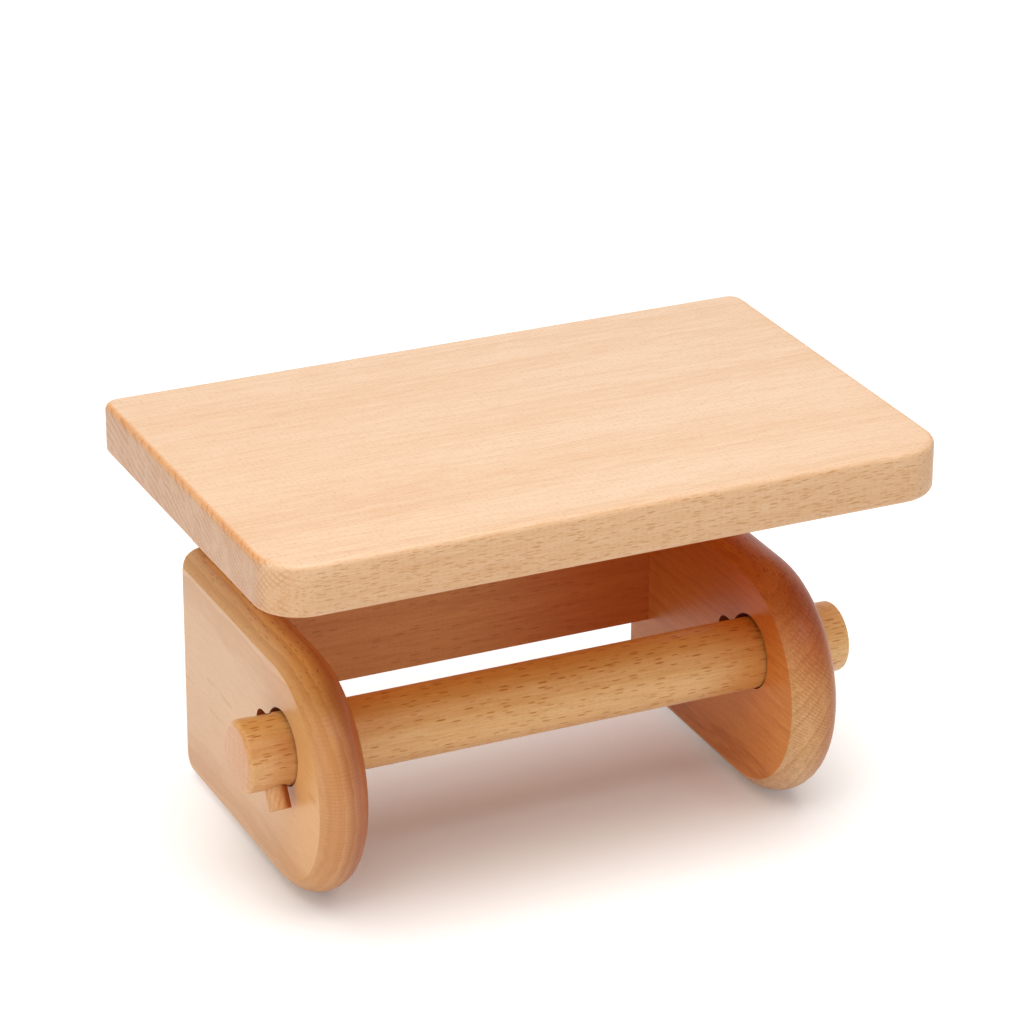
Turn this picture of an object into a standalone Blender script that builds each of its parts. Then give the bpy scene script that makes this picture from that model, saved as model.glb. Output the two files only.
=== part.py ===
"""Toilet paper holder with a shelf, made of beech boards and a round rod.

X runs along the roller, Y runs back to the wall and Z runs up. The origin lies
under the middle of the shelf, on the plane that the two cheeks stand on.
"""

import math

import bmesh
import bpy
from mathutils import Matrix, Vector

MM = 0.001

# Shelf board
SHELF_LENGTH = 190 * MM
SHELF_DEPTH = 120 * MM
SHELF_THICKNESS = 14.5 * MM
SHELF_FRONT_CORNER_RADIUS = 12.7 * MM
SHELF_BACK_CORNER_RADIUS = 4.3 * MM
SHELF_EDGE_RADIUS = 1.9 * MM
OVERALL_HEIGHT = 115 * MM

# Cheeks, which have a half-round front and a crowned edge all round
ROLL_BAY_WIDTH = 123 * MM
CHEEK_THICKNESS = 13.5 * MM
CHEEK_HEIGHT = 68 * MM
CHEEK_DEPTH = 104.1 * MM
CHEEK_CROWN = 4.2 * MM
CHEEK_TOP_CORNER_RADIUS = 3 * MM
CHEEK_BOTTOM_CORNER_RADIUS = 8 * MM
CHEEK_LEAST_CORNER_RADIUS = 0.8 * MM

# Back board, which is T-shaped: its shoulders lie on the cheeks
BOARD_THICKNESS = 15 * MM
BOARD_UNDERSIDE_HEIGHT = 25.6 * MM
BOARD_SHOULDER_REACH = 9.2 * MM
BOARD_EDGE_RADIUS = 2 * MM

# Roller and the two pegs that lock it
ROLLER_RADIUS = 9.75 * MM
ROLLER_PROJECTION = 12.75 * MM
ROLLER_END_RADIUS = 1.5 * MM
PEG_RADIUS = 3.05 * MM
PEG_PROJECTION = 5.7 * MM
PEG_TIP_RADIUS = 0.4 * MM
PEG_HEAD_RECESS = 0.25 * MM
PEG_END_PLAY = 1.05 * MM
PEG_TILT = math.radians(31.5)

# Keyhole-shaped bores in the cheeks
BORE_SETBACK = 29 * MM
BORE_HEIGHT = 42.6 * MM
BORE_CLEARANCE = 0.75 * MM
SLOT_SIDE_CLEARANCE = 1.4 * MM
SLOT_END_CLEARANCE = 2.6 * MM

# Fluted dowel pins
DOWEL_RADIUS = 3 * MM
DOWEL_LENGTH = 28 * MM
DOWEL_FLUTE_DEPTH = 0.35 * MM
DOWEL_FLUTES = 12
DOWEL_CHAMFER = 1 * MM
DOWEL_END_SPACE = 0.5 * MM
SHELF_DOWELS = 4
SHELF_DOWEL_COVER = 5 * MM
SHELF_DOWEL_END_MARGIN = 16 * MM
CHEEK_DOWEL_COVER = 6 * MM
CHEEK_DOWEL_SETBACK = 6 * MM
CHEEK_DOWEL_LOW_MARGIN = 10.4 * MM
CHEEK_DOWEL_TOP_MARGIN = 13 * MM

# Routed keyholes in the back of the board, for two wall screws
HANGER_NECK_RADIUS = 2.5 * MM
HANGER_ENTRY_RADIUS = 4.8 * MM
HANGER_UNDERCUT_RADIUS = 4.5 * MM
HANGER_TRAVEL = 10 * MM
HANGER_LIP = 3.5 * MM
HANGER_FRONT_COVER = 6 * MM
HANGER_TOP_MARGIN = 14 * MM

# Clearances between pieces, and how far a cutter runs past the face it cuts
JOINT_GAP = 0.3 * MM
CUT_OVERRUN = 2 * MM

# Places worked out from the sizes
WALL_Y = SHELF_DEPTH / 2
SHELF_UNDERSIDE_Z = OVERALL_HEIGHT - SHELF_THICKNESS
CHEEK_INNER_X = ROLL_BAY_WIDTH / 2
CHEEK_OUTER_X = CHEEK_INNER_X + CHEEK_THICKNESS
CHEEK_MIDDLE_X = CHEEK_INNER_X + CHEEK_THICKNESS / 2
CHEEK_FRONT_Y = WALL_Y - CHEEK_DEPTH
BOARD_FRONT_Y = WALL_Y - BOARD_THICKNESS
BOARD_TOP_Z = SHELF_UNDERSIDE_Z - JOINT_GAP
BOARD_SHOULDER_X = CHEEK_INNER_X + BOARD_SHOULDER_REACH
BOARD_SHOULDER_Z = CHEEK_HEIGHT + JOINT_GAP
BOARD_BUTT_X = CHEEK_INNER_X - JOINT_GAP
BORE_RADIUS = ROLLER_RADIUS + BORE_CLEARANCE
BORE_Y = CHEEK_FRONT_Y + BORE_SETBACK
ROLLER_DROP = BORE_CLEARANCE - JOINT_GAP
ROLLER_Z = BORE_HEIGHT - ROLLER_DROP
ROLLER_HALF_LENGTH = CHEEK_OUTER_X + ROLLER_PROJECTION
PEG_X = CHEEK_OUTER_X + PEG_END_PLAY + PEG_RADIUS
PEG_REACH = ROLLER_RADIUS + PEG_PROJECTION
SLOT_HALF_WIDTH = PEG_RADIUS + SLOT_SIDE_CLEARANCE
SLOT_CENTRE_REACH = PEG_REACH + SLOT_END_CLEARANCE - SLOT_HALF_WIDTH

# How finely curves are divided
FRONT_STEPS = 44
CORNER_STEPS = 10
CROWN_BANDS = 11
EDGE_STEPS = 6
BORE_STEPS = 44
SLOT_STEPS = 10
ROLLER_STEPS = 64
PEG_STEPS = 24
SMOOTH_ANGLE = math.radians(20)

# Beech as seen on each piece: red, green, blue and roughness
SHELF_BEECH = (0.80, 0.54, 0.33, 0.45)
CHEEK_BEECH = (0.70, 0.42, 0.22, 0.42)
BOARD_BEECH = (0.62, 0.33, 0.16, 0.48)
ROLLER_BEECH = (0.66, 0.39, 0.18, 0.40)
PEG_BEECH = (0.68, 0.40, 0.22, 0.50)
DOWEL_BEECH = (0.72, 0.50, 0.30, 0.60)

UP = Vector((0, 0, 1))


def clear_scene():
    """Remove every object that the file opens with."""
    for item in list(bpy.data.objects):
        bpy.data.objects.remove(item, do_unlink=True)


def beech(name, finish):
    """Return a beech material for one kind of piece."""
    red, green, blue, roughness = finish
    material = bpy.data.materials.new(name + "_beech")
    material.use_nodes = True
    shader = material.node_tree.nodes["Principled BSDF"]
    shader.inputs["Base Color"].default_value = (red, green, blue, 1)
    shader.inputs["Roughness"].default_value = roughness
    shader.inputs["Metallic"].default_value = 0
    return material


def finished_mesh(name, bm, finish=None):
    """Turn a bmesh into a mesh, smooth but for its creases."""
    bmesh.ops.recalc_face_normals(bm, faces=bm.faces)
    mesh = bpy.data.meshes.new(name)
    bm.to_mesh(mesh)
    bm.free()
    if finish is not None:
        mesh.materials.append(beech(name, finish))
        mesh.shade_smooth()
        mesh.set_sharp_from_angle(angle=SMOOTH_ANGLE)
    return mesh


def place(name, mesh, location=(0, 0, 0), parent=None):
    """Add an object that shows a mesh at a place."""
    item = bpy.data.objects.new(name, mesh)
    item.location = location
    item.parent = parent
    bpy.context.scene.collection.objects.link(item)
    return item


def cut(item, name, bm, parent=None):
    """Take a bmesh's shape out of a piece, and keep it as a wire guide."""
    cutter = place(name, finished_mesh(name, bm), parent=parent)
    cutter.hide_render = True
    cutter.display_type = "WIRE"
    modifier = item.modifiers.new(name, "BOOLEAN")
    modifier.operation = "DIFFERENCE"
    modifier.solver = "EXACT"
    modifier.object = cutter


def arc(centre, radius, start, end, steps):
    """Return points on an arc from start to end, in degrees."""
    points = []
    for step in range(steps + 1):
        angle = math.radians(start + (end - start) * step / steps)
        across = centre[0] + radius * math.cos(angle)
        along = centre[1] + radius * math.sin(angle)
        points.append((across, along))
    return points


def lofted(rings):
    """Join rings of equal count into a closed solid with flat ends."""
    bm = bmesh.new()
    loops = [[bm.verts.new(point) for point in ring] for ring in rings]
    for lower, upper in zip(loops, loops[1:]):
        for index in range(len(lower)):
            bm.faces.new((lower[index - 1], lower[index], upper[index], upper[index - 1]))
    bm.faces.new(loops[0])
    bm.faces.new(loops[-1])
    return bm


def extruded(outline, direction):
    """Extrude a closed outline of 3D points along a vector."""
    return lofted([outline, [point + direction for point in outline]])


def edges_in_plane(bm, axis, level, tolerance):
    """Return the edges that lie in one plane across an axis."""
    found = []
    for edge in bm.edges:
        if all(abs(vert.co[axis] - level) < tolerance for vert in edge.verts):
            found.append(edge)
    return found


def round_edges(bm, edges, radius):
    """Round the given edges with an arc of the given radius."""
    bmesh.ops.bevel(
        bm,
        geom=edges,
        offset=radius,
        offset_type="OFFSET",
        segments=EDGE_STEPS,
        profile=0.5,
        affect="EDGES",
        clamp_overlap=True,
    )


def rod(radius, start, end):
    """Return a plain round rod between two points."""
    axis = end - start
    bm = bmesh.new()
    bmesh.ops.create_cone(
        bm, cap_ends=True, segments=PEG_STEPS, radius1=radius, radius2=radius, depth=axis.length
    )
    turn = axis.to_track_quat("Z", "Y").to_matrix().to_4x4()
    middle = Matrix.Translation((start + end) / 2)
    bmesh.ops.transform(bm, matrix=middle @ turn, verts=bm.verts)
    return bm


def shelf_outline(inset):
    """Return the shelf's plan, drawn in by an inset: large corners in front, small at the wall."""
    corners = (
        (1, -1, SHELF_FRONT_CORNER_RADIUS, -90),
        (1, 1, SHELF_BACK_CORNER_RADIUS, 0),
        (-1, 1, SHELF_BACK_CORNER_RADIUS, 90),
        (-1, -1, SHELF_FRONT_CORNER_RADIUS, 180),
    )
    points = []
    for side, depth, radius, start in corners:
        x = side * (SHELF_LENGTH / 2 - radius)
        y = depth * (SHELF_DEPTH / 2 - radius)
        points += arc((x, y), radius - inset, start, start + 90, CORNER_STEPS)
    return points


def make_shelf():
    """The shelf is a slab with rounded corners and softly rounded edges."""
    radius = SHELF_EDGE_RADIUS
    edge = arc((radius, radius), radius, -90, -180, EDGE_STEPS)
    edge += [(inset, SHELF_THICKNESS - height) for inset, height in reversed(edge)]
    rings = []
    for inset, height in edge:
        rings.append([Vector((x, y, height)) for x, y in shelf_outline(inset)])
    mesh = finished_mesh("shelf", lofted(rings), SHELF_BEECH)
    return place("shelf", mesh, UP * SHELF_UNDERSIDE_Z)


def cheek_outline(inset):
    """Return a cheek's side view, in Y and Z, drawn in by an inset.

    The front is a half circle as high as the cheek. The two back corners have
    radii of their own, which shrink with the inset down to a least radius.
    """
    half = CHEEK_HEIGHT / 2
    back = WALL_Y - inset
    top_radius = max(CHEEK_TOP_CORNER_RADIUS - inset, CHEEK_LEAST_CORNER_RADIUS)
    bottom_radius = max(CHEEK_BOTTOM_CORNER_RADIUS - inset, CHEEK_LEAST_CORNER_RADIUS)
    top_corner = (back - top_radius, CHEEK_HEIGHT - inset - top_radius)
    bottom_corner = (back - bottom_radius, inset + bottom_radius)
    points = arc((CHEEK_FRONT_Y + half, half), half - inset, 90, 270, FRONT_STEPS)
    points += arc(bottom_corner, bottom_radius, -90, 0, CORNER_STEPS)
    points += arc(top_corner, top_radius, 0, 90, CORNER_STEPS)
    return points


def crown_stations():
    """Return offsets from the cheek's mid-plane with the crown's inset at each.

    The edge is one arc across the thickness. It meets the flat faces at a
    crease, and its middle band is flat, so that the cheek stands on it.
    """
    half = CHEEK_THICKNESS / 2
    radius = (half * half + CHEEK_CROWN * CHEEK_CROWN) / (2 * CHEEK_CROWN)
    reach = math.asin(half / radius)
    highest = radius * math.cos(reach / CROWN_BANDS)
    stations = []
    for band in range(CROWN_BANDS + 1):
        angle = reach * (2 * band / CROWN_BANDS - 1)
        stations.append((radius * math.sin(angle), highest - radius * math.cos(angle)))
    return stations


def keyhole_outline():
    """Return the bore and its slot, in Y and Z, about the bore's centre."""
    meeting = math.degrees(math.asin(SLOT_HALF_WIDTH / BORE_RADIUS))
    points = arc((0, 0), BORE_RADIUS, meeting, 360 - meeting, BORE_STEPS)
    points += arc((SLOT_CENTRE_REACH, 0), SLOT_HALF_WIDTH, -90, 90, SLOT_STEPS)
    return points


def make_cheeks():
    """Each cheek is a crowned, D-shaped board with a keyhole for the roller."""
    rings = []
    for offset, inset in crown_stations():
        rings.append([Vector((offset, y, z)) for y, z in cheek_outline(inset)])
    mesh = finished_mesh("cheek", lofted(rings), CHEEK_BEECH)
    reach = CHEEK_THICKNESS / 2 + CUT_OVERRUN
    cheeks = {}
    for side_name, side in (("left", -1), ("right", 1)):
        middle = side * CHEEK_MIDDLE_X
        cheek = place(side_name + "_cheek", mesh, (middle, 0, 0))
        start = middle - reach
        outline = [Vector((start, BORE_Y + y, BORE_HEIGHT + z)) for y, z in keyhole_outline()]
        cut(cheek, side_name + "_keyhole_cutter", extruded(outline, Vector((2 * reach, 0, 0))))
        cheeks[side] = cheek
    return cheeks


def board_outline():
    """Return the T-shaped board's front view, in X and Z."""
    radius = BOARD_EDGE_RADIUS
    corner = (BOARD_SHOULDER_X - radius, BOARD_SHOULDER_Z + radius)
    right = [(BOARD_BUTT_X, BOARD_UNDERSIDE_HEIGHT), (BOARD_BUTT_X, BOARD_SHOULDER_Z)]
    right += arc(corner, radius, -90, 0, EDGE_STEPS)
    right.append((BOARD_SHOULDER_X, BOARD_TOP_Z))
    left = [(-x, z) for x, z in reversed(right)]
    return [Vector((x, 0, z)) for x, z in right + left]


def make_board():
    """The board's shoulders and lower edge are rounded; its butt ends are square."""
    bm = extruded(board_outline(), Vector((0, BOARD_THICKNESS, 0)))
    tolerance = BOARD_EDGE_RADIUS / 10
    rounded = []
    for level in (0, BOARD_THICKNESS):
        for edge in edges_in_plane(bm, 1, level, tolerance):
            middle = (edge.verts[0].co + edge.verts[1].co) / 2
            on_shoulder = abs(middle.x) > CHEEK_INNER_X and middle.z < BOARD_TOP_Z - tolerance
            on_underside = middle.z < BOARD_UNDERSIDE_HEIGHT + tolerance
            if on_shoulder or on_underside:
                rounded.append(edge)
    round_edges(bm, rounded, BOARD_EDGE_RADIUS)
    mesh = finished_mesh("back_board", bm, BOARD_BEECH)
    return place("back_board", mesh, (0, BOARD_FRONT_Y, 0))


def cut_hangers(board):
    """Rout two keyholes: a screw head goes in below and hooks behind the lip above."""
    top = BOARD_TOP_Z - HANGER_TOP_MARGIN
    entry = top - HANGER_TRAVEL
    floor = BOARD_FRONT_Y + HANGER_FRONT_COVER
    lip = WALL_Y - HANGER_LIP
    meeting = math.degrees(math.acos(HANGER_NECK_RADIUS / HANGER_ENTRY_RADIUS))
    places = shelf_dowel_places()
    middles = ((places[0] + places[1]) / 2, (places[-2] + places[-1]) / 2)
    for number, x in enumerate(middles, start=1):
        entry_start = 180 - meeting
        mouth = arc((x, entry), HANGER_ENTRY_RADIUS, entry_start, 360 + meeting, 2 * SLOT_STEPS)
        mouth += arc((x, top), HANGER_NECK_RADIUS, 0, 180, SLOT_STEPS)
        undercut = arc((x, entry), HANGER_UNDERCUT_RADIUS, 180, 360, SLOT_STEPS)
        undercut += arc((x, top), HANGER_UNDERCUT_RADIUS, 0, 180, SLOT_STEPS)
        parts = (
            ("mouth", mouth, (floor + lip) / 2, WALL_Y + CUT_OVERRUN),
            ("undercut", undercut, floor, lip),
        )
        for part, outline, start, end in parts:
            points = [Vector((across, start, height)) for across, height in outline]
            bm = extruded(points, Vector((0, end - start, 0)))
            cut(board, "hanger_%d_%s_cutter" % (number, part), bm)


def make_roller(axle):
    """The roller is a rod with softened ends, turned about its own axis."""
    straight = ROLLER_HALF_LENGTH - ROLLER_END_RADIUS
    flat = ROLLER_RADIUS - ROLLER_END_RADIUS
    right = arc((straight, flat), ROLLER_END_RADIUS, 90, 0, EDGE_STEPS)
    left = [(-x, radius) for x, radius in reversed(right)]
    rings = []
    for x, radius in left + right:
        ring = []
        for step in range(ROLLER_STEPS):
            angle = math.tau * step / ROLLER_STEPS
            ring.append(Vector((x, radius * math.cos(angle), radius * math.sin(angle))))
        rings.append(ring)
    return place("roller", finished_mesh("roller", lofted(rings), ROLLER_BEECH), parent=axle)


def make_pegs(axle, roller):
    """Each peg goes through the roller, flush at its head and proud at its tip."""
    head = UP * (ROLLER_RADIUS - PEG_HEAD_RECESS)
    tip = -UP * PEG_REACH
    bm = rod(PEG_RADIUS, tip, head)
    round_edges(bm, edges_in_plane(bm, 2, tip.z, PEG_TIP_RADIUS), PEG_TIP_RADIUS)
    mesh = finished_mesh("peg", bm, PEG_BEECH)
    lean = Vector((0, math.sin(PEG_TILT), math.cos(PEG_TILT)))
    for side_name, side in (("left", -1), ("right", 1)):
        centre = Vector((side * PEG_X, 0, 0))
        peg = place(side_name + "_peg", mesh, centre, axle)
        peg.rotation_euler.x = -PEG_TILT
        through = lean * (ROLLER_RADIUS + CUT_OVERRUN)
        hole = rod(PEG_RADIUS + JOINT_GAP, centre - through, centre + through)
        cut(roller, side_name + "_peg_hole_cutter", hole, axle)


def make_dowel_mesh():
    """A dowel pin is a fluted rod with chamfered ends."""
    levels = (
        (0, DOWEL_RADIUS - DOWEL_CHAMFER / 2),
        (DOWEL_CHAMFER, DOWEL_RADIUS),
        (DOWEL_LENGTH - DOWEL_CHAMFER, DOWEL_RADIUS),
        (DOWEL_LENGTH, DOWEL_RADIUS - DOWEL_CHAMFER / 2),
    )
    rings = []
    for height, radius in levels:
        ring = []
        for index in range(2 * DOWEL_FLUTES):
            angle = math.pi * index / DOWEL_FLUTES
            reach = radius - DOWEL_FLUTE_DEPTH * (index % 2)
            ring.append(Vector((reach * math.cos(angle), reach * math.sin(angle), height)))
        rings.append(ring)
    return finished_mesh("dowel", lofted(rings), DOWEL_BEECH)


def fit_dowel(name, mesh, start, direction, holes):
    """Place a dowel along a direction and drill the blind holes that it fits.

    Each hole is a piece, the point where the drill meets it, and how far the
    drill goes from there along the direction, or against it when negative.
    """
    dowel = place(name, mesh, start)
    dowel.rotation_euler = direction.to_track_quat("Z", "Y").to_euler()
    for piece, mouth, depth in holes:
        way = math.copysign(1, depth) * direction
        bm = rod(DOWEL_RADIUS + JOINT_GAP, mouth - way * CUT_OVERRUN, mouth + way * abs(depth))
        cut(piece, "%s_%s_cutter" % (name, piece.name), bm)


def shelf_dowel_places():
    """Return the X of each dowel between the board and the shelf."""
    reach = BOARD_SHOULDER_X - SHELF_DOWEL_END_MARGIN
    return [reach * (2 * index / (SHELF_DOWELS - 1) - 1) for index in range(SHELF_DOWELS)]


def dowel_shelf(mesh, shelf, board):
    """Pin the shelf down on the board's top edge."""
    in_shelf = SHELF_THICKNESS - SHELF_DOWEL_COVER
    y = WALL_Y - BOARD_THICKNESS / 2
    start_z = SHELF_UNDERSIDE_Z + in_shelf - DOWEL_END_SPACE - DOWEL_LENGTH
    in_board = BOARD_TOP_Z - start_z + DOWEL_END_SPACE
    for number, x in enumerate(shelf_dowel_places(), start=1):
        holes = (
            (shelf, Vector((x, y, SHELF_UNDERSIDE_Z)), in_shelf),
            (board, Vector((x, y, BOARD_TOP_Z)), -in_board),
        )
        fit_dowel("shelf_dowel_%d" % number, mesh, Vector((x, y, start_z)), UP, holes)


def dowel_cheeks(mesh, cheeks, board):
    """Pin each cheek to the board's butt end with two dowels."""
    in_cheek = CHEEK_THICKNESS - CHEEK_DOWEL_COVER
    start_x = CHEEK_INNER_X + in_cheek - DOWEL_END_SPACE - DOWEL_LENGTH
    in_board = BOARD_BUTT_X - start_x + DOWEL_END_SPACE
    y = BOARD_FRONT_Y + CHEEK_DOWEL_SETBACK
    heights = (
        ("lower", BOARD_UNDERSIDE_HEIGHT + CHEEK_DOWEL_LOW_MARGIN),
        ("upper", CHEEK_HEIGHT - CHEEK_DOWEL_TOP_MARGIN),
    )
    for side_name, side in (("left", -1), ("right", 1)):
        for level, z in heights:
            holes = (
                (cheeks[side], Vector((side * CHEEK_INNER_X, y, z)), in_cheek),
                (board, Vector((side * BOARD_BUTT_X, y, z)), -in_board),
            )
            name = "%s_cheek_dowel_%s" % (side_name, level)
            fit_dowel(name, mesh, Vector((side * start_x, y, z)), Vector((side, 0, 0)), holes)


def build():
    """Make every piece of the holder."""
    clear_scene()
    shelf = make_shelf()
    board = make_board()
    cheeks = make_cheeks()
    dowel_mesh = make_dowel_mesh()
    dowel_shelf(dowel_mesh, shelf, board)
    dowel_cheeks(dowel_mesh, cheeks, board)
    cut_hangers(board)
    axle = place("roller_axis", None, (0, BORE_Y, ROLLER_Z))
    roller = make_roller(axle)
    make_pegs(axle, roller)


build()
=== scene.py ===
"""Looks of the toilet paper holder with a shelf: beech boards, a turned roller and a white studio.

Lengths are in metres. X runs along the roller, Y runs back to the wall and Z runs up.
"""

import math

import bpy
from mathutils import Euler, Matrix, Vector


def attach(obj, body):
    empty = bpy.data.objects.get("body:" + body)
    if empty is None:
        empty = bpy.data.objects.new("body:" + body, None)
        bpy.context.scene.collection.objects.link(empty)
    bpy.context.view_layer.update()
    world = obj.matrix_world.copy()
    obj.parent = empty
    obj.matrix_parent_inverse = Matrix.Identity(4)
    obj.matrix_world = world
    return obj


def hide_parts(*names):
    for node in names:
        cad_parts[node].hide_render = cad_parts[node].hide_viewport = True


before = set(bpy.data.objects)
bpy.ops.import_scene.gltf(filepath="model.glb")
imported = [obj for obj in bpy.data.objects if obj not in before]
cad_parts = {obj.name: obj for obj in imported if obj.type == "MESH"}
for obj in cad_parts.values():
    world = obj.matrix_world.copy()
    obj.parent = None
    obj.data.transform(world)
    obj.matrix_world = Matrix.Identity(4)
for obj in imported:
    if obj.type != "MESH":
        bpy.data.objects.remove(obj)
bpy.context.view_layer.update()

MM = 0.001

# Camera, as the outlines of the shelf, cheeks and roller fix it
CAMERA_TARGET = Vector((-2.661, 0.0, 89.636)) * MM
CAMERA_DISTANCE = 1100.009 * MM
CAMERA_AZIMUTH = math.radians(-25.091)
CAMERA_ELEVATION = math.radians(24.166)
CAMERA_ROLL = math.radians(0.284)
FOCAL_PIXELS = 4169.883
FRAME_PIXELS = 1024
SENSOR_WIDTH = 36.0
CLIP_START = 0.05
CLIP_STOP = 50.0

# Joints, from the CAD solids
JOINT_GAP = 0.3 * MM
BOARD_BUTT = 61.2 * MM
BOARD_SHOULDER = 68.3 * MM
CATCH = 0.05 * MM
BORE_CENTRE = Vector((0.0, -15.1, 42.6)) * MM

# Ways that a face can look or painted light and shade can run
RIGHTWARD = (1.0, 0.0, 0.0)
LEFTWARD = (-1.0, 0.0, 0.0)
WALLWARD = (0.0, 1.0, 0.0)
FRONTWARD = (0.0, -1.0, 0.0)
UPWARD = (0.0, 0.0, 1.0)
NO_SIDE = (0.0, 0.0, 0.0)
ACROSS = (0.0, 1.0, 1.0)

# Scales of the grain's noises, per metre along the grain and across it
DRIFT_SCALE = (5.0, 28.0, 28.0)
FRAY_SCALE = (60.0, 330.0, 330.0)
CLOUD_SCALE = (7.0, 60.0, 60.0)
STREAK_SCALE = (110.0, 1900.0, 1900.0)
RAY_WARP_SCALE = (150.0, 150.0, 150.0)
RAY_PATCH_SCALE = (300.0, 240.0, 240.0)
NOISE_MIDDLE = 0.5

# Growth rings: where late wood deepens and ends within a year, and how years differ
LATE_WOOD = (0.3, 0.97)
YEAR_END = (0.97, 1.0)
YEAR_SPREAD = 0.6
YEAR_LEAST = 0.4
CLOUD_RANGE = (0.25, 0.75)

# Ray flecks and pores on side grain
SIDE_GRAIN = (0.45, 0.85)
SPINDLE_SCATTER = 0.8
SPINDLE_CORE = 0.6
SPINDLE_SPREAD = 0.5
SPINDLE_LEAST = 0.5
FLECK_SIZE = 0.33
PORE_LENGTH = 1.6 * MM
PORE_SPACING = 0.34 * MM
PORE_SHARE = 0.7
PORE_SIZE = 0.36

# Rays and arcs on end grain
END_GRAIN = (0.25, 0.7)
LINE_EDGE = (0.1, 1.0)
RAY_PATCHES = (0.3, 0.6)
RAY_SPACING = 1.0 * MM
RAY_SWAY = 7.0
ARC_SPACING = 1.2 * MM
ARC_SWAY = -5.0
ARC_DEPTH = 0.55

# Turns of a face over which a tint of painted light and shade sets in
END_TURN = (0.75, 1.0)
CORNER_TURN = (0.1, 0.5)
CORNER_WEIGHT = 2.0
LEAN_TURN = (-0.1, 0.6)
BORE_TURN = (0.0, 0.3)

# Surface
FLECK_ROUGHNESS = 0.15
GRAIN_BUMP = 0.15
GRAIN_HEIGHT = 0.02 * MM
WOOD_IOR = 1.5
MERGE_REACH = 0.002 * MM
CREASE_ANGLE = math.radians(20)

# Studio
FLOOR_REACH = 6.0
FLOOR_DROP = 0.1 * MM
FLOOR_COLOUR = (0.93, 0.925, 0.915)
FLOOR_ROUGHNESS = 0.9
# Painted light on the floor, seen by the camera and in reflections: a glow that stays low in a box round
# the part, where its shadow shows, and rises away from it to white.
NEAR_GLOW = 0.07
FAR_GLOW = 0.5
HORIZON_GLOW = 0.8
HORIZON_START = 0.5
HORIZON_STOP = 1.6
SHADE_CENTRE = Vector((0.0, -0.009, 0.0))
SHADE_REACH = Vector((0.05, 0.002, 0.0))
SHADE_FADE = 0.072
SKY_LIGHT = 0.25
LAMP_AIM = Vector((0.0, 0.0, 0.05))
LAMP_COLOUR = (1.0, 0.99, 0.975)
# Each lamp's name, place, size and power
LAMPS = (
    ("overhead_lamp", Vector((-0.05, -0.27, 1.2)), 1.2, 13.8),
    ("side_lamp", Vector((-1.3, -0.4, 0.5)), 1.0, 3.6),
)


def add_node(tree, kind, inputs=None, **settings):
    """Add a node, set its properties, and set or link its inputs."""
    node = tree.nodes.new(kind)
    for key, value in settings.items():
        setattr(node, key, value)
    for key, value in (inputs or {}).items():
        if isinstance(value, bpy.types.NodeSocket):
            tree.links.new(value, node.inputs[key])
        else:
            node.inputs[key].default_value = value
    return node


def maths(tree, operation, first, second=0.0, clamp=False):
    """Return the result of a math node."""
    inputs = {0: first, 1: second}
    return add_node(tree, "ShaderNodeMath", inputs, operation=operation, use_clamp=clamp).outputs[0]


def vector_maths(tree, operation, first, second=(0.0, 0.0, 0.0)):
    """Return the vector that a vector math node gives."""
    node = add_node(tree, "ShaderNodeVectorMath", {0: first, 1: second}, operation=operation)
    return node.outputs["Vector"]


def stretched(tree, place, scale):
    """Return a place scaled by its own factor along each axis."""
    return vector_maths(tree, "MULTIPLY", place, scale)


def smooth_range(tree, value, low, high, to_low=0.0, to_high=1.0):
    """Return a value eased from one range to another."""
    node = add_node(
        tree,
        "ShaderNodeMapRange",
        {"Value": value, "From Min": low, "From Max": high, "To Min": to_low, "To Max": to_high},
        interpolation_type="SMOOTHSTEP",
    )
    return node.outputs["Result"]


def noise(tree, place, detail=2.0):
    """Return a noise value over a place that is already scaled."""
    inputs = {"Vector": place, "Scale": 1.0, "Detail": detail}
    return add_node(tree, "ShaderNodeTexNoise", inputs).outputs["Fac"]


def blend(tree, share, first, second, mode="MIX"):
    """Return a mix of two colours."""
    node = add_node(tree, "ShaderNodeMix", data_type="RGBA", blend_type=mode)
    for key, value in ((0, share), (6, first), (7, second)):
        if isinstance(value, bpy.types.NodeSocket):
            tree.links.new(value, node.inputs[key])
        else:
            node.inputs[key].default_value = value
    return node.outputs[2]


def new_group(name, inputs, outputs):
    """Start a shader node group and return it with its input and output nodes."""
    group = bpy.data.node_groups.new(name, "ShaderNodeTree")
    for label, kind, value in inputs:
        socket = group.interface.new_socket(label, in_out="INPUT", socket_type="NodeSocket" + kind)
        if value is not None:
            socket.default_value = value
    for label, kind in outputs:
        group.interface.new_socket(label, in_out="OUTPUT", socket_type="NodeSocket" + kind)
    return group, group.nodes.new("NodeGroupInput"), group.nodes.new("NodeGroupOutput")


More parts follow.
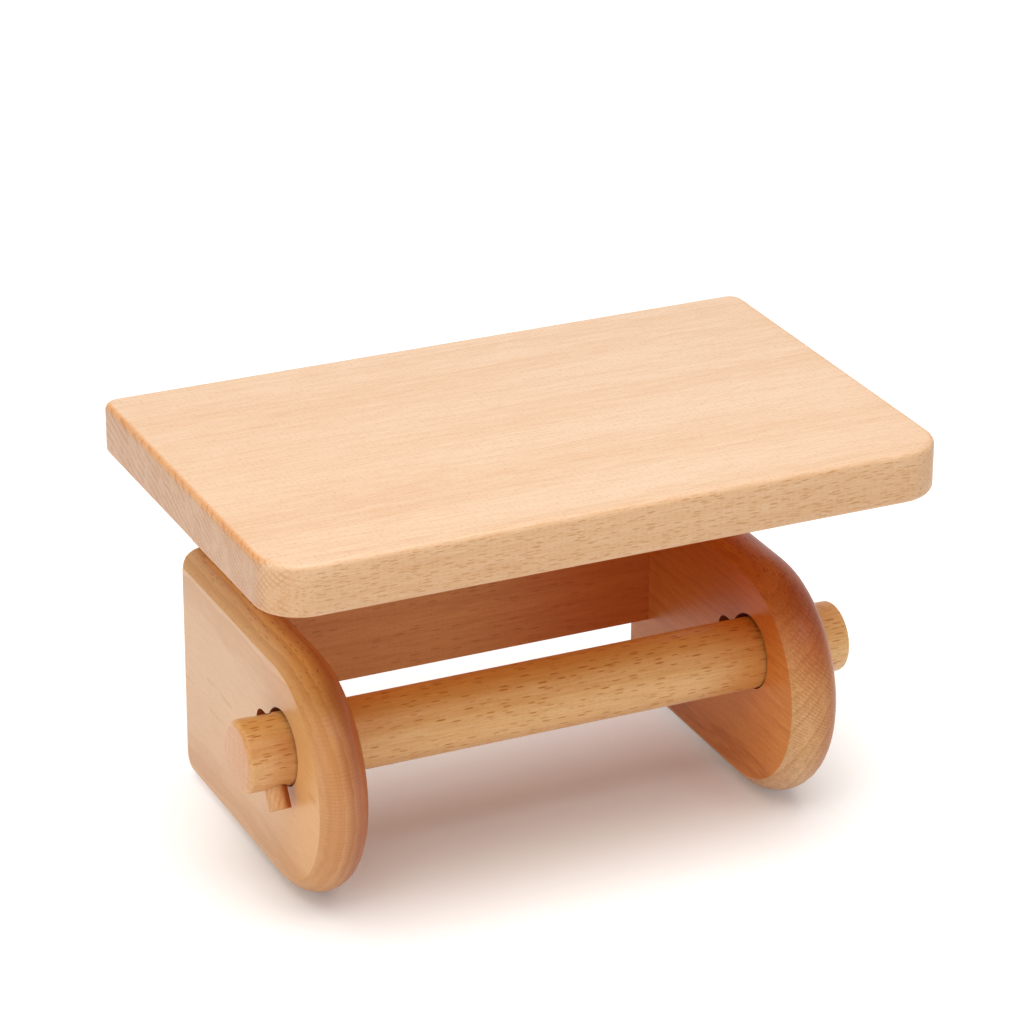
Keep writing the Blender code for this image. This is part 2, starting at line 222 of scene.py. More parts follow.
def make_growth_rings():
    """Growth rings round a pith that runs along X, with slow clouds of tone between them."""
    group, given, result = new_group(
        "growth_rings",
        (
            ("Place", "Vector", None),
            ("Ring width", "Float", 3 * MM),
            ("Wander", "Float", 1.5 * MM),
            ("Fray", "Float", 0.0),
        ),
        (
            ("Rings", "Float"),
            ("Years", "Float"),
            ("Clouds", "Float"),
            ("Reach", "Float"),
            ("Angle", "Float"),
        ),
    )
    place = given.outputs["Place"]
    drift = add_node(
        group,
        "ShaderNodeTexNoise",
        {"Vector": stretched(group, place, DRIFT_SCALE), "Scale": 1.0, "Detail": 2.0},
    ).outputs["Color"]
    centred = vector_maths(group, "SUBTRACT", drift, (NOISE_MIDDLE,) * 3)
    bend = add_node(
        group,
        "ShaderNodeVectorMath",
        {0: centred, "Scale": given.outputs["Wander"]},
        operation="SCALE",
    ).outputs["Vector"]
    bent = vector_maths(group, "ADD", place, bend)
    frayed = noise(group, stretched(group, place, FRAY_SCALE), 1.0)
    across = stretched(group, bent, ACROSS)
    reach = add_node(group, "ShaderNodeVectorMath", {0: across}, operation="LENGTH").outputs["Value"]
    parts = add_node(group, "ShaderNodeSeparateXYZ", {0: bent}).outputs
    angle = maths(group, "ARCTAN2", parts["Z"], parts["Y"])
    fray = maths(group, "MULTIPLY_ADD", frayed, given.outputs["Fray"])
    group.links.new(reach, fray.node.inputs[2])
    count = maths(group, "DIVIDE", fray, given.outputs["Ring width"])
    year = maths(group, "FLOOR", count)
    share = maths(group, "FRACT", count)
    chance = add_node(group, "ShaderNodeTexWhiteNoise", {"W": year}, noise_dimensions="1D").outputs["Value"]
    late = smooth_range(group, share, *LATE_WOOD)
    fall = smooth_range(group, share, *YEAR_END, 1.0, 0.0)
    depth = maths(group, "MULTIPLY_ADD", chance, YEAR_SPREAD)
    depth.node.inputs[2].default_value = YEAR_LEAST
    rings = maths(group, "MULTIPLY", maths(group, "MULTIPLY", late, fall), depth)
    clouds = noise(group, stretched(group, bent, CLOUD_SCALE), 3.0)
    for label, value in (
        ("Rings", rings),
        ("Years", chance),
        ("Clouds", clouds),
        ("Reach", reach),
        ("Angle", angle),
    ):
        group.links.new(value, result.inputs[label])
    return group


def make_ray_flecks():
    """Flecks, pores and streaks along the grain, and a fan of rays with arcs on end grain."""
    group, given, result = new_group(
        "ray_flecks",
        (
            ("Place", "Vector", None),
            ("Facing", "Vector", None),
            ("Reach", "Float", 0.0),
            ("Angle", "Float", 0.0),
            ("Fleck length", "Float", 6 * MM),
            ("Fleck spacing", "Float", 0.8 * MM),
            ("Fleck share", "Float", 0.5),
            ("Ray reach", "Float", 50 * MM),
        ),
        (
            ("Flecks", "Float"),
            ("Pores", "Float"),
            ("Streaks", "Float"),
            ("Rays", "Float"),
            ("End", "Float"),
        ),
    )
    place = given.outputs["Place"]
    facing = add_node(group, "ShaderNodeSeparateXYZ", {0: given.outputs["Facing"]}).outputs["X"]
    end = smooth_range(group, maths(group, "ABSOLUTE", facing), *END_GRAIN)
    side = smooth_range(group, maths(group, "ABSOLUTE", facing), *SIDE_GRAIN, 1.0, 0.0)

    def spindles(length, spacing, share, size):
        """Return a mask of pointed spindles that lie along the grain."""
        along = maths(group, "DIVIDE", 1.0, length)
        over = maths(group, "DIVIDE", 1.0, spacing)
        scale = add_node(group, "ShaderNodeCombineXYZ", {0: along, 1: over, 2: over}).outputs[0]
        cells = add_node(
            group,
            "ShaderNodeTexVoronoi",
            {"Vector": stretched(group, place, scale), "Scale": 1.0, "Randomness": SPINDLE_SCATTER},
        )
        near = smooth_range(group, cells.outputs["Distance"], size * SPINDLE_CORE, size, 1.0, 0.0)
        chance = add_node(group, "ShaderNodeSeparateColor", {0: cells.outputs["Color"]}).outputs
        kept = maths(group, "LESS_THAN", chance[0], share)
        strength = maths(group, "MULTIPLY_ADD", chance[1], SPINDLE_SPREAD)
        strength.node.inputs[2].default_value = SPINDLE_LEAST
        shown = maths(group, "MULTIPLY", maths(group, "MULTIPLY", near, kept), strength)
        return maths(group, "MULTIPLY", shown, side)

    flecks = spindles(
        given.outputs["Fleck length"],
        given.outputs["Fleck spacing"],
        given.outputs["Fleck share"],
        FLECK_SIZE,
    )
    pores = spindles(PORE_LENGTH, PORE_SPACING, PORE_SHARE, PORE_SIZE)
    warp = noise(group, stretched(group, place, RAY_WARP_SCALE), 1.0)
    patch = smooth_range(group, noise(group, stretched(group, place, RAY_PATCH_SCALE), 1.0), *RAY_PATCHES)

    def lines(distance, spacing, sway):
        """Return fine lines at an even spacing that sway a little."""
        turns = maths(group, "MULTIPLY", distance, math.tau / spacing)
        swayed = maths(group, "MULTIPLY_ADD", warp, sway)
        group.links.new(turns, swayed.node.inputs[2])
        return smooth_range(group, maths(group, "SINE", swayed), *LINE_EDGE)

    around = maths(group, "MULTIPLY", given.outputs["Angle"], given.outputs["Ray reach"])
    rays = lines(around, RAY_SPACING, RAY_SWAY)
    arcs = maths(group, "MULTIPLY", lines(given.outputs["Reach"], ARC_SPACING, ARC_SWAY), ARC_DEPTH)
    grid = maths(group, "MULTIPLY", maths(group, "MAXIMUM", rays, arcs), patch)
    streaks = noise(group, stretched(group, place, STREAK_SCALE), 2.0)
    for label, value in (
        ("Flecks", flecks),
        ("Pores", pores),
        ("Streaks", streaks),
        ("Rays", maths(group, "MULTIPLY", grid, end)),
        ("End", end),
    ):
        group.links.new(value, result.inputs[label])
    return group


def make_painted_facing_light():
    """Painted light and shade: a tint for each way that a surface can face, for end edges and for faces
    that lean right, which on end grain also holds its own darker tone.
    """
    sides = ("Right", "Left", "Back", "Front", "Top", "Under")
    group, given, result = new_group(
        "painted_facing_light",
        [("Facing", "Vector", None), ("Color", "Color", (1.0, 1.0, 1.0, 1.0))]
        + [(side, "Color", (1.0, 1.0, 1.0, 1.0)) for side in sides + ("End edges", "Right lean shade")],
        (("Color", "Color"),),
    )
    ways = add_node(group, "ShaderNodeSeparateXYZ", {0: given.outputs["Facing"]}).outputs
    ends = smooth_range(group, maths(group, "POWER", ways["X"], 2.0), *END_TURN)
    around = add_node(
        group,
        "ShaderNodeVectorMath",
        {0: stretched(group, given.outputs["Facing"], ACROSS)},
        operation="NORMALIZE",
    ).outputs["Vector"]
    across = add_node(group, "ShaderNodeSeparateXYZ", {0: around}).outputs
    rest = maths(group, "SUBTRACT", 1.0, ends)
    total = None
    for index, side in enumerate(sides):
        sign = 1.0 if index % 2 == 0 else -1.0
        if index < 2:
            turned = maths(group, "GREATER_THAN", maths(group, "MULTIPLY", ways["X"], sign))
            weight = maths(group, "MULTIPLY", ends, turned)
        else:
            facing = maths(group, "MULTIPLY", across[index // 2], sign, clamp=True)
            weight = maths(group, "MULTIPLY", rest, maths(group, "POWER", facing, 2.0))
        share = add_node(
            group, "ShaderNodeVectorMath", {0: given.outputs[side], "Scale": weight}, operation="SCALE"
        ).outputs["Vector"]
        total = share if total is None else vector_maths(group, "ADD", total, share)
    # Darker end edges, partly their end grain and partly painted shade.
    sloped = maths(group, "ABSOLUTE", maths(group, "MULTIPLY", ways["X"], ways["Z"]))
    corner = smooth_range(group, maths(group, "ABSOLUTE", ways["Y"]), *CORNER_TURN, CORNER_WEIGHT, 0.0)
    weight = maths(group, "MULTIPLY", sloped, corner)
    total = blend(group, weight, total, vector_maths(group, "MULTIPLY", total, given.outputs["End edges"]))
    # Painted shade on faces that lean right.
    lean = maths(group, "MULTIPLY", smooth_range(group, ways["X"], *LEAN_TURN), rest)
    total = blend(group, lean, total, vector_maths(group, "MULTIPLY", total, given.outputs["Right lean shade"]))
    group.links.new(vector_maths(group, "MULTIPLY", given.outputs["Color"], total), result.inputs["Color"])
    return group


def make_painted_light_slope():
    """Painted light and shade: a slow change of tone along a direction, on all faces but those turned one
    way.
    """
    group, given, result = new_group(
        "painted_light_slope",
        (
            ("Place", "Vector", None),
            ("Facing", "Vector", None),
            ("Color", "Color", (1.0, 1.0, 1.0, 1.0)),
            ("Away from", "Vector", (0.0, 0.0, 0.0)),
            ("Along", "Vector", (0.0, 0.0, 1.0)),
            ("Start", "Float", 0.0),
            ("Stop", "Float", 50 * MM),
            ("Tint", "Color", (1.0, 1.0, 1.0, 1.0)),
        ),
        (("Color", "Color"),),
    )
    inputs = {0: given.outputs["Place"], 1: given.outputs["Along"]}
    run = add_node(group, "ShaderNodeVectorMath", inputs, operation="DOT_PRODUCT").outputs["Value"]
    inputs = {0: given.outputs["Facing"], 1: given.outputs["Away from"]}
    hidden = add_node(group, "ShaderNodeVectorMath", inputs, operation="DOT_PRODUCT").outputs["Value"]
    shown = maths(group, "SUBTRACT", 1.0, hidden, clamp=True)
    weight = smooth_range(group, run, given.outputs["Start"], given.outputs["Stop"])
    weight = maths(group, "MULTIPLY", weight, shown)
    tinted = vector_maths(group, "MULTIPLY", given.outputs["Color"], given.outputs["Tint"])
    group.links.new(blend(group, weight, given.outputs["Color"], tinted), result.inputs["Color"])
    return group


def make_painted_bore_shade():
    """Painted shade in a hole along X: a darker tone on the walls that face its axis."""
    group, given, result = new_group(
        "painted_bore_shade",
        (
            ("Place", "Vector", None),
            ("Facing", "Vector", None),
            ("Color", "Color", (1.0, 1.0, 1.0, 1.0)),
            ("Centre", "Vector", (0.0, 0.0, 0.0)),
            ("Tint", "Color", (1.0, 1.0, 1.0, 1.0)),
        ),
        (("Color", "Color"),),
    )
    inward = vector_maths(group, "SUBTRACT", given.outputs["Centre"], given.outputs["Place"])
    inward = vector_maths(group, "NORMALIZE", stretched(group, inward, ACROSS))
    inputs = {0: inward, 1: given.outputs["Facing"]}
    turned = add_node(group, "ShaderNodeVectorMath", inputs, operation="DOT_PRODUCT").outputs["Value"]
    weight = smooth_range(group, turned, *BORE_TURN)
    tinted = vector_maths(group, "MULTIPLY", given.outputs["Color"], given.outputs["Tint"])
    group.links.new(blend(group, weight, given.outputs["Color"], tinted), result.inputs["Color"])
    return group


GROWTH_RINGS = make_growth_rings()
RAY_FLECKS = make_ray_flecks()
PAINTED_FACING_LIGHT = make_painted_facing_light()
PAINTED_LIGHT_SLOPE = make_painted_light_slope()
PAINTED_BORE_SHADE = make_painted_bore_shade()

PLAIN_FINISH = {
    "ring_width": 3.2 * MM,
    "wander": 1.5 * MM,
    "fray": 0.0,
    "ring_depth": 0.3,
    "year_depth": 0.1,
    "cloud_depth": 0.35,
    "streak_depth": 0.5,
    "fleck_length": 6 * MM,
    "fleck_spacing": 0.85 * MM,
    "fleck_share": 0.5,
    "fleck_depth": 0.7,
    "pore_depth": 0.2,
    "ray_depth": 0.4,
    "ray_reach": 50 * MM,
    "end_depth": 0.25,
    "roughness": 0.38,
    "gloss": 0.5,
    "fleck_sides": (1.0, 1.0, 1.0),
}


def light_slope(along, start, stop, tint, away=NO_SIDE):
    """Return a change of tone between two places along a way, given in millimetres, that paints light and
    shade.

    Faces that look along the away vector keep their tone, and a longer vector spares more of a round.
    """
    return along, start * MM, stop * MM, tint, away


def beech(name, pale, deep, fleck, pith, turn=(0.0, 0.0, 0.0), facing_light_and_tone=None, light_slopes=(), bore_shade=None, **finish):
    """Return beech whose grain runs along X after a turn, with its pith through a given point."""
    values = dict(PLAIN_FINISH, **finish)
    material = bpy.data.materials.new(name)
    material.use_nodes = True
    tree = material.node_tree
    shader = tree.nodes["Principled BSDF"]
    coordinates = add_node(tree, "ShaderNodeTexCoord")
    shift = -(Euler(turn).to_matrix() @ Vector(pith))
    place = add_node(
        tree,
        "ShaderNodeMapping",
        {"Vector": coordinates.outputs["Object"], "Location": shift, "Rotation": turn},
    ).outputs[0]
    facing = add_node(
        tree,
        "ShaderNodeMapping",
        {"Vector": coordinates.outputs["Normal"], "Rotation": turn},
        vector_type="NORMAL",
    ).outputs[0]
    rings = add_node(
        tree,
        "ShaderNodeGroup",
        {
            "Place": place,
            "Ring width": values["ring_width"],
            "Wander": values["wander"],
            "Fray": values["fray"],
        },
        node_tree=GROWTH_RINGS,
    ).outputs
    marks = add_node(
        tree,
        "ShaderNodeGroup",
        {
            "Place": place,
            "Facing": facing,
            "Reach": rings["Reach"],
            "Angle": rings["Angle"],
            "Fleck length": values["fleck_length"],
            "Fleck spacing": values["fleck_spacing"],
            "Fleck share": values["fleck_share"],
            "Ray reach": values["ray_reach"],
        },
        node_tree=RAY_FLECKS,
    ).outputs

    def weighed(value, depth):
        """Return a mask at the depth that its finish gives it."""
        return maths(tree, "MULTIPLY", value, depth)

    tone = weighed(smooth_range(tree, rings["Clouds"], *CLOUD_RANGE), values["cloud_depth"])
    tone = maths(tree, "ADD", tone, weighed(rings["Rings"], values["ring_depth"]))
    tone = maths(tree, "ADD", tone, weighed(rings["Years"], values["year_depth"]))
    streaks = maths(tree, "SUBTRACT", marks["Streaks"], NOISE_MIDDLE)
    tone = maths(tree, "ADD", tone, weighed(streaks, values["streak_depth"]))
    tone = maths(tree, "ADD", tone, weighed(marks["End"], values["end_depth"]), clamp=True)
    colour = blend(tree, tone, pale + (1.0,), deep + (1.0,))
    sides = vector_maths(tree, "MULTIPLY", coordinates.outputs["Normal"], values["fleck_sides"])
    turned = add_node(tree, "ShaderNodeVectorMath", {0: sides}, operation="LENGTH").outputs["Value"]
    shown = maths(tree, "POWER", turned, 2.0, clamp=True)
    dark = maths(
        tree,
        "MAXIMUM",
        weighed(maths(tree, "MULTIPLY", marks["Flecks"], shown), values["fleck_depth"]),
        weighed(marks["Pores"], values["pore_depth"]),
    )
    dark = maths(tree, "MAXIMUM", dark, weighed(marks["Rays"], values["ray_depth"]))
    colour = blend(tree, dark, colour, fleck + (1.0,))
    # Painted light and shade by facing, as a tint on each way a face turns.
    painted = add_node(
        tree,
        "ShaderNodeGroup",
        {"Facing": coordinates.outputs["Normal"], "Color": colour},
        node_tree=PAINTED_FACING_LIGHT,
    )
    for side, tint in (facing_light_and_tone or {}).items():
        painted.inputs[side].default_value = tint + (1.0,)
    colour = painted.outputs["Color"]
    # Painted light and shade that change along a way.
    for along, start, stop, tint, away in light_slopes:
        inputs = {
            "Place": coordinates.outputs["Object"],
            "Facing": coordinates.outputs["Normal"],
            "Color": colour,
            "Away from": away,
            "Along": along,
            "Start": start,
            "Stop": stop,
            "Tint": tint + (1.0,),
        }
        colour = add_node(tree, "ShaderNodeGroup", inputs, node_tree=PAINTED_LIGHT_SLOPE).outputs["Color"]
    # Painted shade on the walls of a hole along X.
    if bore_shade:
        inputs = {
            "Place": coordinates.outputs["Object"],
            "Facing": coordinates.outputs["Normal"],
            "Color": colour,
            "Centre": BORE_CENTRE,
            "Tint": bore_shade + (1.0,),
        }
        colour = add_node(tree, "ShaderNodeGroup", inputs, node_tree=PAINTED_BORE_SHADE).outputs["Color"]
    tree.links.new(colour, shader.inputs["Base Color"])
    rough = maths(tree, "MULTIPLY_ADD", dark, FLECK_ROUGHNESS)
    rough.node.inputs[2].default_value = values["roughness"]
    tree.links.new(rough, shader.inputs["Roughness"])
    bump = add_node(
        tree,
        "ShaderNodeBump",
        {"Height": marks["Streaks"], "Strength": GRAIN_BUMP, "Distance": GRAIN_HEIGHT},
    )
    tree.links.new(bump.outputs["Normal"], shader.inputs["Normal"])
    shader.inputs["IOR"].default_value = WOOD_IOR
    shader.inputs["Specular IOR Level"].default_value = values["gloss"]
    return material


def smooth_by_angle():
    """Return geometry nodes that join loose facets and shade all but creases smooth."""
    tree = bpy.data.node_groups.new("smooth_but_creases", "GeometryNodeTree")
    tree.interface.new_socket("Geometry", in_out="INPUT", socket_type="NodeSocketGeometry")
    tree.interface.new_socket("Geometry", in_out="OUTPUT", socket_type="NodeSocketGeometry")
    given = tree.nodes.new("NodeGroupInput")
    result = tree.nodes.new("NodeGroupOutput")
    joined = add_node(
        tree, "GeometryNodeMergeByDistance", {"Geometry": given.outputs[0], "Distance": MERGE_REACH}
    )
    smooth = add_node(tree, "GeometryNodeSetShadeSmooth", {0: joined.outputs[0]}, domain="FACE")
    angle = add_node(tree, "GeometryNodeInputMeshEdgeAngle").outputs["Unsigned Angle"]
    creased = add_node(
        tree, "FunctionNodeCompare", {0: angle, 1: CREASE_ANGLE}, operation="GREATER_THAN"
    ).outputs[0]
    sharp = add_node(
        tree,
        "GeometryNodeSetShadeSmooth",
        {0: smooth.outputs[0], 1: creased, 2: False},
        domain="EDGE",
    )
    tree.links.new(sharp.outputs[0], result.inputs[0])
    return tree


def make_beeches():
    """Return the beech of each named piece, and the one of the dowels.

    The tint for each facing and the changes along a way were set against one picture, and hold part of its
    light and shade.
    """
    along_y = (0.0, 0.0, math.radians(-90))
    upright = (0.0, math.radians(90), 0.0)
    shelf = beech(
        "shelf_beech",
        pale=(0.90, 0.635, 0.43),
        deep=(0.80, 0.49, 0.275),
        fleck=(0.56, 0.22, 0.05),
        pith=(0.0, -0.138, 0.0495),
        # Painted light and shade by facing: the front, back and underside warmer and darker; the left end
        # darker, partly its end grain; the end edges darker and more orange, partly their end grain.
        facing_light_and_tone={
            "Front": (1.0, 0.92, 0.79),
            "Back": (1.0, 0.93, 0.82),
            "Under": (1.0, 0.9, 0.75),
            "Left": (0.86, 0.78, 0.73),
            "End edges": (0.94, 0.68, 0.4),
        },
        fleck_sides=(0.0, 1.0, 0.12),
        fleck_length=4.9 * MM,
        fleck_spacing=0.58 * MM,
        fleck_share=0.95,
        fleck_depth=0.72,
        pore_depth=0.4,
        streak_depth=1.7,
        ring_depth=0.2,
        cloud_depth=0.55,
        ray_depth=0.45,
        ray_reach=75 * MM,
    )
    left = beech(
        "left_cheek_beech",
        pale=(0.88, 0.60, 0.385),
        deep=(0.74, 0.42, 0.215),
        fleck=(0.42, 0.16, 0.05),
        pith=(-0.2228, 0.0, 0.034),
        turn=along_y,
        # Painted light and shade by facing: a pale sheen on the outer face, a more golden top rim, and the
        # front, the inner face and faces that lean right darker, in the shade of the bay between the
        # cheeks.
        facing_light_and_tone={
            "Left": (1.07, 1.02, 0.94),
            "Top": (1.08, 0.94, 0.54),
            "Front": (0.91, 0.81, 0.81),
            "Right": (0.9, 0.68, 0.48),
            "Right lean shade": (0.7, 0.46, 0.35),
        },
        # More golden towards the front; the upper front of the crown darker, as painted shade under the
        # shelf; across the cheek's thickness darker and then lighter again, partly painted shade and partly
        # the strips of its growth rings.
        light_slopes=(
            light_slope(FRONTWARD, -4.0, 32.0, (0.97, 0.83, 0.54)),
            light_slope((0.0, -0.82, 0.57), 57.0, 61.0, (0.9, 0.82, 0.76), away=(-2.0, 0.0, 0.0)),
            light_slope(RIGHTWARD, -70.0, -68.2, (0.88, 0.8, 0.78)),
            light_slope(RIGHTWARD, -65.6, -63.8, (1.2, 1.26, 1.15)),
        ),
        # Painted shade inside the roller's hole.
        bore_shade=(0.5, 0.24, 0.1),
        fleck_sides=(0.12, 0.35, 1.0),
        fleck_length=4.6 * MM,
        fleck_spacing=0.75 * MM,
        fleck_share=0.8,
        ring_width=2.8 * MM,
        wander=0.9 * MM,
        fray=1.6 * MM,
        ring_depth=1.0,
        cloud_depth=0.2,
        year_depth=0.7,
        streak_depth=0.7,
        ray_depth=0.16,
        ray_reach=160 * MM,
    )
    right = beech(
        "right_cheek_beech",
        pale=(0.84, 0.52, 0.30),
        deep=(0.66, 0.33, 0.145),
        fleck=(0.40, 0.14, 0.045),
        pith=(0.105, 0.0, 0.01),
        turn=along_y,
        # Painted shade by facing: the top rim, the front, the inner face and faces that lean right darker
        # and redder, in the shelf's shade.
        facing_light_and_tone={
            "Top": (0.91, 0.58, 0.24),
            "Front": (0.93, 0.82, 0.62),
            "Left": (0.95, 0.56, 0.22),
            "Right lean shade": (0.84, 0.63, 0.48),
        },
        # Painted shade under the shelf: darker and redder up the inner face and along the top-front rim;
        # painted light: lighter towards the wall and towards the front.
        light_slopes=(
            light_slope(UPWARD, 32.0, 66.0, (0.77, 0.51, 0.34), away=RIGHTWARD),
            light_slope(WALLWARD, 40.0, 56.0, (1.2, 1.35, 1.5)),
            light_slope(UPWARD, 34.0, 43.0, (0.99, 0.94, 0.78), away=(1.0, -1.0, 1.0)),
            light_slope((0.0, -0.7, 0.7), 60.0, 63.6, (0.9, 0.7, 0.58), away=(-1.2, 0.0, 0.0)),
            light_slope(FRONTWARD, 24.0, 38.0, (1.07, 1.22, 1.38), away=(1.0, -1.0, 1.0)),
        ),
        # Painted shade inside the roller's hole.
        bore_shade=(0.5, 0.24, 0.1),
        fleck_sides=(0.3, 0.3, 1.0),
        fleck_length=4.4 * MM,
        fleck_spacing=0.7 * MM,
        fleck_share=0.8,
        fleck_depth=0.85,
        ring_width=2.2 * MM,
        fray=1.1 * MM,
        ring_depth=0.48,
        ray_depth=0.36,
        pore_depth=0.45,
        streak_depth=1.7,
        gloss=0.35,
    )
    board = beech(
        "board_beech",
        pale=(0.84, 0.49, 0.27),
        deep=(0.70, 0.35, 0.16),
        fleck=(0.46, 0.15, 0.04),
        pith=(0.0, 0.09, 0.02),
        # Painted shade: the front warmer, and darker and redder towards the right, where the shelf and the
        # right cheek shade it.
        facing_light_and_tone={"Front": (1.08, 0.9, 0.64)},
        light_slopes=(light_slope(RIGHTWARD, -12.0, 50.0, (0.76, 0.44, 0.24), away=WALLWARD),),
        pore_depth=0.25,
        streak_depth=1.7,
        gloss=0.35,
    )
    roller = beech(
        "roller_beech",
        pale=(0.90, 0.57, 0.31),
        deep=(0.76, 0.39, 0.15),
        fleck=(0.56, 0.18, 0.02),
        pith=(0.0, 0.075, 0.05),
        fleck_length=5.4 * MM,
        fleck_spacing=0.86 * MM,
        fleck_share=0.9,
        fleck_depth=0.95,
        pore_depth=0.3,
        streak_depth=1.8,
        ray_depth=0.12,
        end_depth=0.0,
        # Painted light and shade by facing: the top darker and warmer in the shelf's shade, the front and
        # the left end warmer.
        facing_light_and_tone={
            "Top": (1.0, 0.75, 0.33),
            "Front": (1.03, 0.98, 0.76),
            "Left": (1.0, 0.88, 0.82),
        },
        # Painted shade on the roller near each cheek and under the shelf's right part, and painted light on
        # the stubs that stand out in the open, most on the left stub's top.
        light_slopes=(
            light_slope(LEFTWARD, 62.0, 76.0, (0.92, 0.87, 0.86)),
            light_slope(LEFTWARD, 62.0, 76.0, (1.1, 1.36, 1.72), away=(-1.2, -2.3, -1.34)),
            light_slope(RIGHTWARD, -84.5, -77.0, (0.87, 0.78, 0.66), away=(0.0, 1.64, 2.1)),
            light_slope(RIGHTWARD, -74.0, -66.0, (1.149, 1.282, 1.515), away=(0.0, 1.64, 2.1)),
            light_slope(RIGHTWARD, 36.0, 60.0, (0.86, 0.7, 0.5)),
            light_slope(RIGHTWARD, 66.0, 76.0, (1.24, 1.6, 2.35)),
        ),
    )
    peg = beech(
        "peg_beech",
        pale=(0.82, 0.44, 0.185),
        deep=(0.6, 0.265, 0.085),
        fleck=(0.40, 0.14, 0.04),
        pith=(-0.09, -0.015, 0.03),
        turn=upright,
        # Painted shade on the side that leans right.
        facing_light_and_tone={"Right lean shade": (0.48, 0.19, 0.07)},
        ring_width=1.3 * MM,
        wander=0.5 * MM,
        ring_depth=0.5,
        streak_depth=1.2,
        fleck_depth=0.3,
    )
    pin = beech(
        "dowel_beech",
        pale=(0.78, 0.54, 0.33),
        deep=(0.66, 0.42, 0.23),
        fleck=(0.38, 0.18, 0.08),
        pith=(0.05, 0.02, 0.01),
        turn=upright,
    )
    finishes = {
        "shelf": shelf,
        "left_cheek": left,
        "right_cheek": right,
        "back_board": board,
        "roller": roller,
        "left_peg": peg,
        "right_peg": peg,
    }
    return finishes, pin


def dress(nodes):
    """Give every CAD piece its beech and its smooth shading."""
    finishes, pin = make_beeches()
    smoothing = smooth_by_angle()
    for name, item in nodes.items():
        item.data.materials.clear()
        item.data.materials.append(finishes.get(name, pin))
        modifier = item.modifiers.new("smooth_but_creases", "NODES")
        modifier.node_group = smoothing
    close_board(nodes["back_board"])


def close_board(board):
    """Show the board with its butt ends, shoulders and top pressed against what they join."""
    shown = bpy.data.objects.new("back_board_closed", board.data.copy())
    bpy.context.scene.collection.objects.link(shown)
    top = max(vertex.co.z for vertex in shown.data.vertices)
    for vertex in shown.data.vertices:
        place = vertex.co
        if BOARD_BUTT - CATCH < abs(place.x) < BOARD_BUTT + CATCH and place.z < BOARD_SHOULDER + CATCH:
            place.x += math.copysign(JOINT_GAP, place.x)
        if abs(place.z - BOARD_SHOULDER) < CATCH and abs(place.x) > BOARD_BUTT - CATCH:
            place.z -= JOINT_GAP
        if place.z > top - CATCH:
            place.z += JOINT_GAP
    for modifier in board.modifiers:
        copied = shown.modifiers.new(modifier.name, modifier.type)
        copied.node_group = modifier.node_group
    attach(shown, "frame")
    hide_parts("back_board")


def camera_rays(tree):
    """Return 1 for rays from the camera, a reflection or glass, and 0 for lighting."""
    paths = add_node(tree, "ShaderNodeLightPath")
    seen = maths(tree, "MAXIMUM", paths.outputs["Is Camera Ray"], paths.outputs["Is Glossy Ray"])
    return maths(tree, "MAXIMUM", seen, paths.outputs["Is Transmission Ray"])


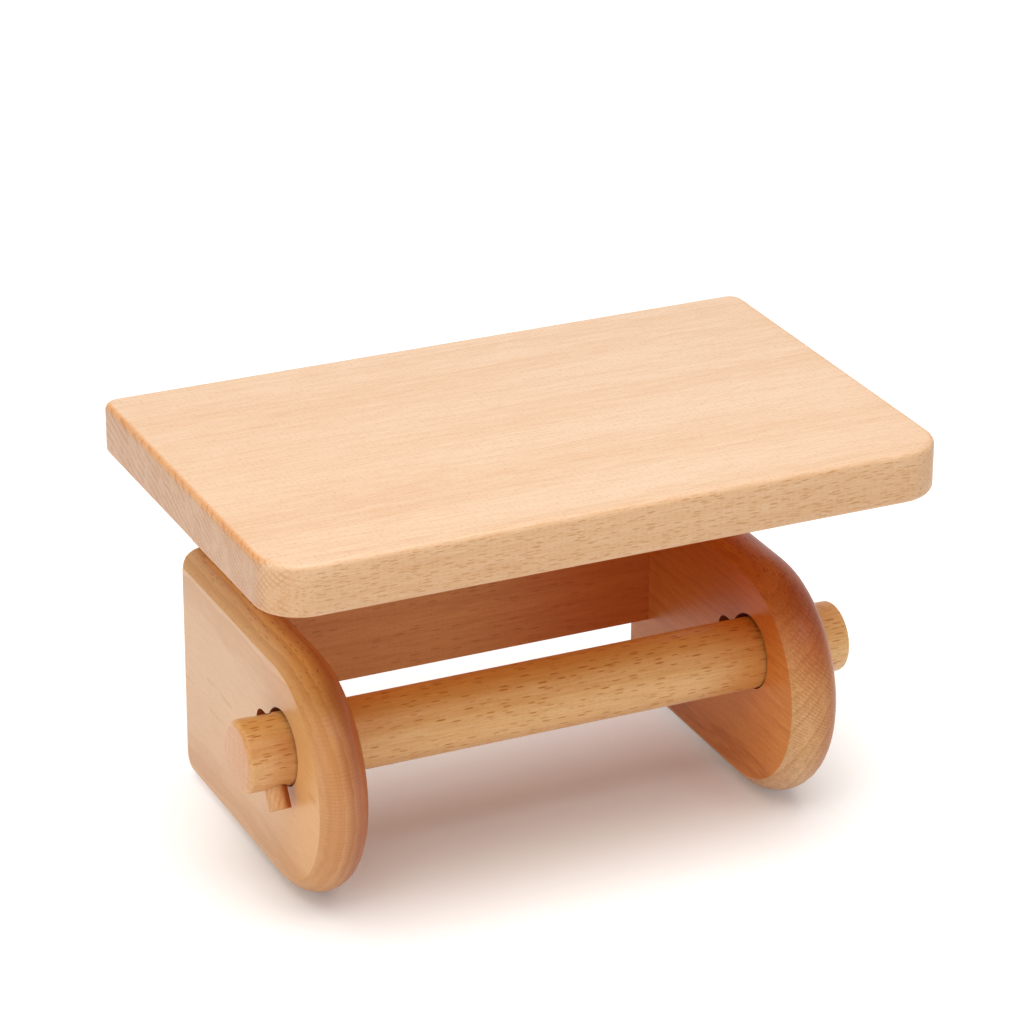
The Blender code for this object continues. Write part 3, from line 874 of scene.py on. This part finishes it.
def make_studio():
    """A wide pale floor under two soft lamps, with white beyond it.

    For camera, glossy and transmission rays alone the floor glows, more and more away from the part,
    so that it keeps the part's shadow and runs into the white.
    """
    mesh = bpy.data.meshes.new("studio_floor")
    reach = FLOOR_REACH / 2
    corners = [(-reach, -reach, 0), (reach, -reach, 0), (reach, reach, 0), (-reach, reach, 0)]
    mesh.from_pydata(corners, [], [(0, 1, 2, 3)])
    floor = bpy.data.objects.new("studio_floor", mesh)
    floor.location.z = -FLOOR_DROP
    bpy.context.scene.collection.objects.link(floor)
    material = bpy.data.materials.new("pale_floor")
    material.use_nodes = True
    tree = material.node_tree
    shader = tree.nodes["Principled BSDF"]
    shader.inputs["Roughness"].default_value = FLOOR_ROUGHNESS
    shader.inputs["Specular IOR Level"].default_value = 0.0
    shader.inputs["Base Color"].default_value = FLOOR_COLOUR + (1.0,)
    place = add_node(tree, "ShaderNodeTexCoord").outputs["Object"]
    place = vector_maths(tree, "ABSOLUTE", vector_maths(tree, "SUBTRACT", place, SHADE_CENTRE))
    outside = vector_maths(tree, "MAXIMUM", vector_maths(tree, "SUBTRACT", place, SHADE_REACH))
    far = add_node(tree, "ShaderNodeVectorMath", {0: outside}, operation="LENGTH").outputs["Value"]
    beyond = smooth_range(tree, far, HORIZON_START, HORIZON_STOP, FAR_GLOW, HORIZON_GLOW)
    glow = smooth_range(tree, far, 0.0, SHADE_FADE, NEAR_GLOW, beyond)
    tree.links.new(maths(tree, "MULTIPLY", glow, camera_rays(tree)), shader.inputs["Emission Strength"])
    shader.inputs["Emission Color"].default_value = (1.0, 1.0, 1.0, 1.0)
    mesh.materials.append(material)

    world = bpy.data.worlds.new("white_studio")
    bpy.context.scene.world = world
    world.use_nodes = True
    tree = world.node_tree
    background = tree.nodes["Background"]
    background.inputs["Color"].default_value = (1.0, 1.0, 1.0, 1.0)
    strength = add_node(
        tree,
        "ShaderNodeMapRange",
        {"Value": camera_rays(tree), "To Min": SKY_LIGHT, "To Max": 1.0},
    ).outputs["Result"]
    tree.links.new(strength, background.inputs["Strength"])

    for name, place, size, power in LAMPS:
        lamp = bpy.data.lights.new(name, "AREA")
        lamp.shape = "SQUARE"
        lamp.size = size
        lamp.energy = power
        lamp.color = LAMP_COLOUR
        holder = bpy.data.objects.new(name, lamp)
        holder.location = place
        holder.rotation_euler = (LAMP_AIM - place).to_track_quat("-Z", "Y").to_euler()
        bpy.context.scene.collection.objects.link(holder)


def make_camera():
    """Stand the camera where the photograph was taken."""
    level = CAMERA_DISTANCE * math.cos(CAMERA_ELEVATION)
    offset = Vector(
        (
            level * math.sin(CAMERA_AZIMUTH),
            -level * math.cos(CAMERA_AZIMUTH),
            CAMERA_DISTANCE * math.sin(CAMERA_ELEVATION),
        )
    )
    data = bpy.data.cameras.new("camera")
    data.sensor_width = SENSOR_WIDTH
    data.sensor_fit = "HORIZONTAL"
    data.lens = FOCAL_PIXELS / FRAME_PIXELS * SENSOR_WIDTH
    data.clip_start = CLIP_START
    data.clip_end = CLIP_STOP
    camera = bpy.data.objects.new("camera", data)
    turn = (-offset).to_track_quat("-Z", "Y").to_matrix()
    roll = Matrix.Rotation(CAMERA_ROLL, 3, "Z")
    camera.matrix_world = Matrix.Translation(CAMERA_TARGET + offset) @ (turn @ roll).to_4x4()
    bpy.context.scene.collection.objects.link(camera)
    bpy.context.scene.camera = camera


make_camera()
make_studio()
dress(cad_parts)
bpy.context.scene.view_settings.view_transform = "Standard"
